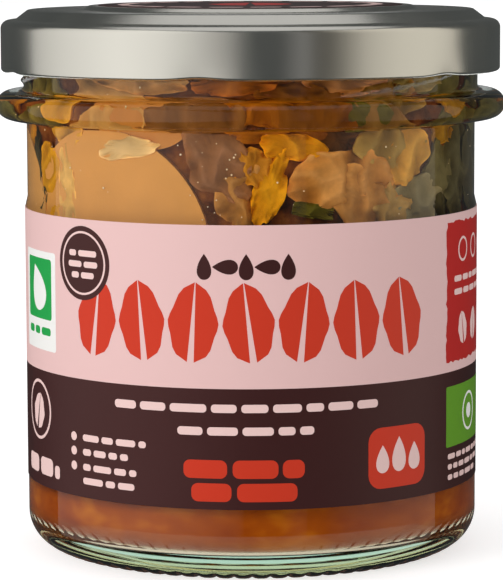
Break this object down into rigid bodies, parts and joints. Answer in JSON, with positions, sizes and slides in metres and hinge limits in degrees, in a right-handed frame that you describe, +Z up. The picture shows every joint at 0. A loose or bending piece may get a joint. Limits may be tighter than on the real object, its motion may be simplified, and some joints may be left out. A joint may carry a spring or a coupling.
{
  "type": "kimchi jar",
  "caption": "Round glass jar of kimchi with a collar bead under a twist-off metal lid, a wide wrap-round paper label and a round label on the lid.",
  "frame": {"origin": "middle of the circle that the jar stands on", "axes": "+Z up along the jar's axis; the front of the wrap-round label faces -Y and its open strip faces +Y"},
  "size_m": [0.087, 0.087, 0.0928],
  "materials": {
    "clear_glass": "clear with a faint green tint",
    "kimchi": "wet",
    "tinplate": "satin silver lacquer",
    "label_paper": "matt",
    "lid_label_paper": "matt"
  },
  "bodies": {
    "root": {"jar_glass": "clear_glass", "kimchi": "kimchi", "lid": "tinplate", "wrap_label": "label_paper", "lid_label": "lid_label_paper"}
  },
  "joints": []
}
